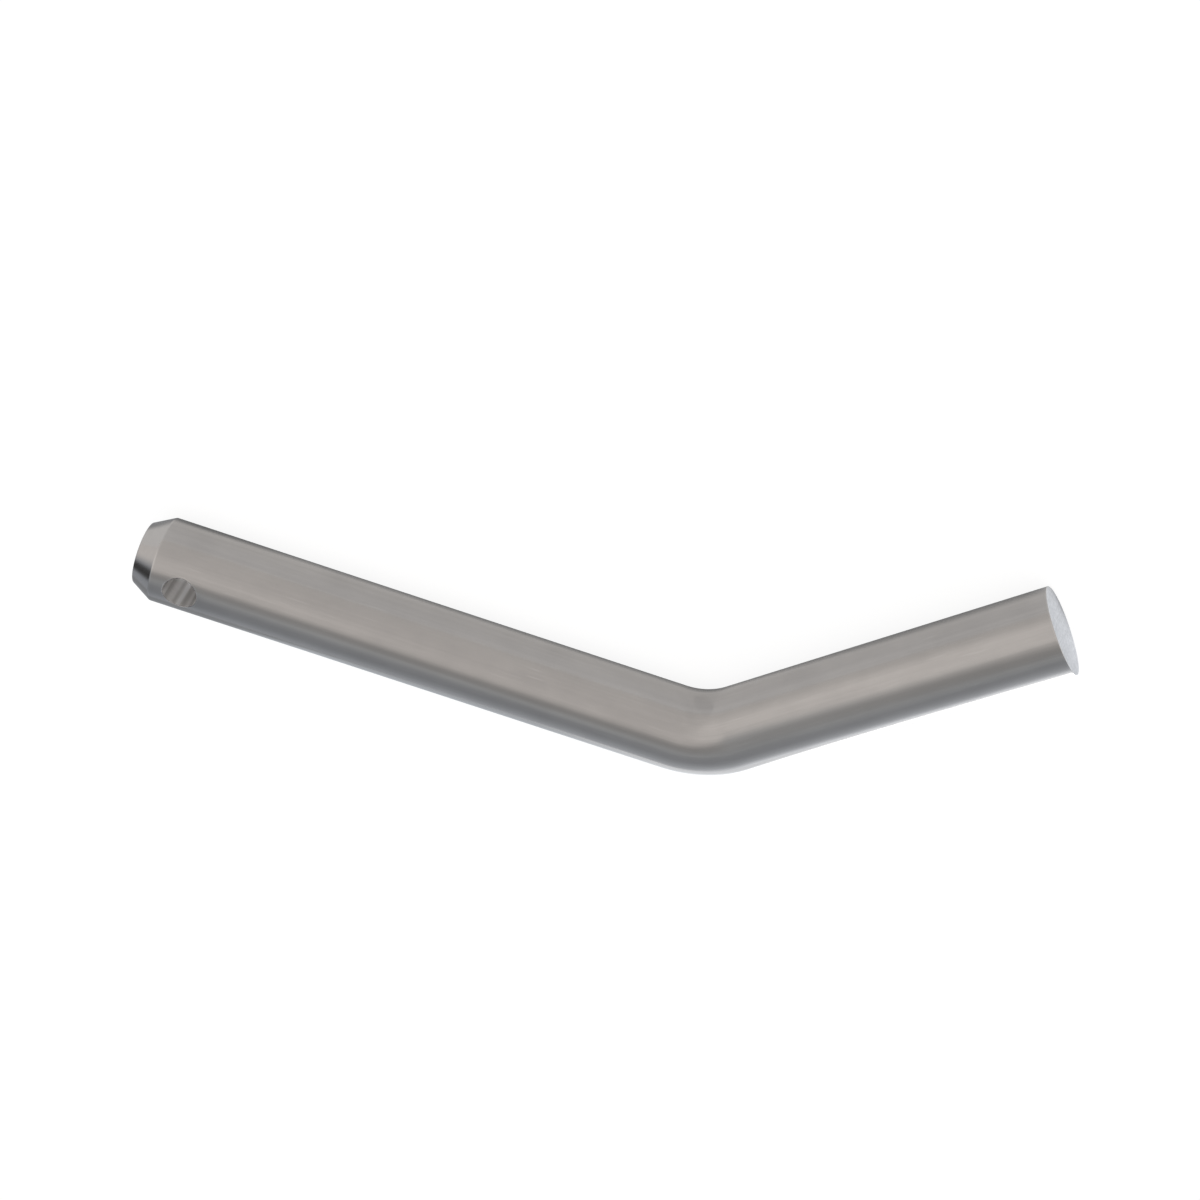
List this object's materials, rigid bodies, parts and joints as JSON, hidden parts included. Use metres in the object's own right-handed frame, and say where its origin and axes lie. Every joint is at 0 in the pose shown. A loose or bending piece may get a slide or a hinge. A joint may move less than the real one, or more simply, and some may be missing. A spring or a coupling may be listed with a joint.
{
  "type": "bent pin",
  "caption": "Round steel bar bent to an obtuse angle: long leg with a coned nose and a cross hole for a clip, short leg cut off square as stop and handle.",
  "frame": {"origin": "on the axis of the long leg, where the bend starts", "axes": "-X along the long leg towards its nose, +Y towards the side that the short leg bends to, +Z square to the plane of the bend and along the cross hole"},
  "size_m": [0.1622, 0.0613, 0.0158],
  "materials": {
    "steel": "plain drawn steel, satin, with faint lengthwise lines"
  },
  "bodies": {
    "root": {"pin": "steel"}
  },
  "joints": []
}
